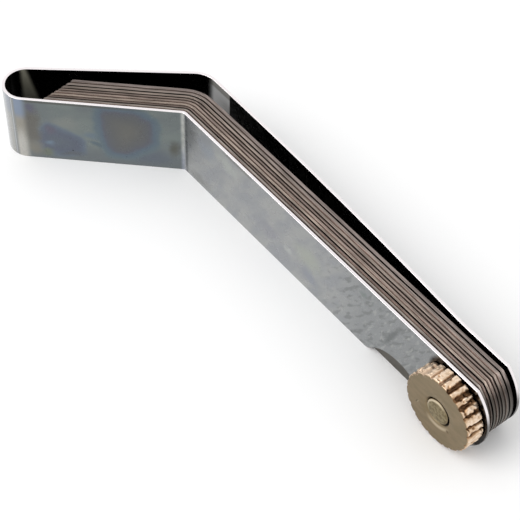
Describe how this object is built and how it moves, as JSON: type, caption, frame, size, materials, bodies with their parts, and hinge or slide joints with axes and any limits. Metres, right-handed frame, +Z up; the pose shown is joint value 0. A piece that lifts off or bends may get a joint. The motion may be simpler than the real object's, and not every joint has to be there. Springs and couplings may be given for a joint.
{
  "type": "offset feeler gauge",
  "caption": "Bent steel strip case folded round a stack of offset gauge leaves that turn on a screw with a knurled brass nut.",
  "frame": {"origin": "on the lower edge of the near limb, straight below the pivot screw's axis, level with the limb's outer face", "axes": "+X along the long arm past the pivot, +Y along the screw away from the knurled nut, +Z up across the strip's width"},
  "size_m": [0.0927, 0.028, 0.0127],
  "materials": {
    "case_steel": "polished spring steel with faint blue and brown temper stains",
    "leaf_steel": "hardened gauge steel with ground faces and dull sheared edges",
    "screw_brass": "dull turned brass",
    "nut_brass": "dull brass face with bright worn teeth"
  },
  "bodies": {
    "case": {"case": "case_steel", "pivot_screw": "screw_brass"},
    "leaf_1": {"leaf_1": "leaf_steel"},
    "leaf_2": {"leaf_2": "leaf_steel"},
    "leaf_3": {"leaf_3": "leaf_steel"},
    "leaf_4": {"leaf_4": "leaf_steel"},
    "leaf_5": {"leaf_5": "leaf_steel"},
    "leaf_6": {"leaf_6": "leaf_steel"},
    "leaf_7": {"leaf_7": "leaf_steel"},
    "leaf_8": {"leaf_8": "leaf_steel"},
    "nut": {"knurled_nut": "nut_brass"}
  },
  "joints": [
    {"name": "leaf_1_swing", "type": "hinge", "parent": "case", "child": "leaf_1", "pos_m": [0, 0.00095, 0.00635], "axis": [0, 1, 0], "continuous": true},
    {"name": "leaf_2_swing", "type": "hinge", "parent": "case", "child": "leaf_2", "pos_m": [0, 0.00147, 0.00635], "axis": [0, 1, 0], "continuous": true},
    {"name": "leaf_3_swing", "type": "hinge", "parent": "case", "child": "leaf_3", "pos_m": [0, 0.00201, 0.00635], "axis": [0, 1, 0], "continuous": true},
    {"name": "leaf_4_swing", "type": "hinge", "parent": "case", "child": "leaf_4", "pos_m": [0, 0.00261, 0.00635], "axis": [0, 1, 0], "continuous": true},
    {"name": "leaf_5_swing", "type": "hinge", "parent": "case", "child": "leaf_5", "pos_m": [0, 0.00316, 0.00635], "axis": [0, 1, 0], "continuous": true},
    {"name": "leaf_6_swing", "type": "hinge", "parent": "case", "child": "leaf_6", "pos_m": [0, 0.00375, 0.00635], "axis": [0, 1, 0], "continuous": true},
    {"name": "leaf_7_swing", "type": "hinge", "parent": "case", "child": "leaf_7", "pos_m": [0, 0.00444, 0.00635], "axis": [0, 1, 0], "continuous": true},
    {"name": "leaf_8_swing", "type": "hinge", "parent": "case", "child": "leaf_8", "pos_m": [0, 0.00519, 0.00635], "axis": [0, 1, 0], "continuous": true},
    {"name": "nut_turn", "type": "hinge", "parent": "case", "child": "nut", "pos_m": [0, -0.00156, 0.00635], "axis": [0, 1, 0], "range_deg": [-720, 65]}
  ]
}
